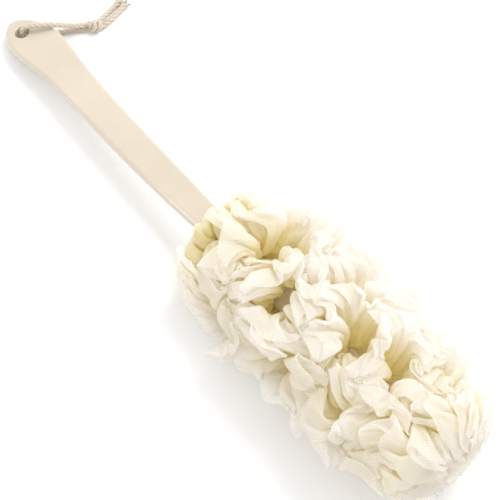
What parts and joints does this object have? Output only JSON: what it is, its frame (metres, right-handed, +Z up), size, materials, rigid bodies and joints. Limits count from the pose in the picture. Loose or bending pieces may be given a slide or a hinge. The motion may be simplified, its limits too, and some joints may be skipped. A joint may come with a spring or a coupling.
{
  "type": "loofah back scrubber",
  "caption": "Long-handled bath scrubber with a gathered netting head on a flat moulded handle and a knotted hanging cord.",
  "frame": {"origin": "on the surface the scrubber lies on, under the middle of its bounding box without the hanging cord", "axes": "+X along the scrubber from the grip's tip to the netting head, +Z up from the surface, +Y to the side where the hanging cord lies"},
  "size_m": [0.39, 0.1095, 0.0829],
  "materials": {
    "ivory_plastic": "glossy ivory moulded plastic",
    "white_netting": "soft white to cream knitted netting, slightly translucent",
    "binding_cord": "white nylon binding cord",
    "cotton_cord": "natural cream twisted cotton cord"
  },
  "bodies": {
    "scrubber": {"handle": "ivory_plastic", "mesh_bundle_1": "white_netting", "mesh_bundle_2": "white_netting", "mesh_bundle_3": "white_netting", "mesh_bundle_4": "white_netting", "mesh_bundle_5": "white_netting", "mesh_bundle_6": "white_netting", "mesh_bundle_7": "white_netting", "mesh_bundle_8": "white_netting", "binding_tie_1": "binding_cord", "binding_tie_2": "binding_cord", "binding_tie_3": "binding_cord", "binding_tie_4": "binding_cord", "binding_tie_5": "binding_cord", "binding_tie_6": "binding_cord", "binding_tie_7": "binding_cord", "binding_tie_8": "binding_cord"},
    "cord_loop": {"hanging_cord": "cotton_cord", "cord_knot": "cotton_cord", "cord_tail_1": "cotton_cord", "cord_tail_2": "cotton_cord"}
  },
  "joints": [
    {"name": "cord_swing", "type": "hinge", "parent": "scrubber", "child": "cord_loop", "pos_m": [-0.182, 0, 0.00806], "axis": [-0.2601, 0, 0.9656], "range_deg": [-5, 255]}
  ]
}
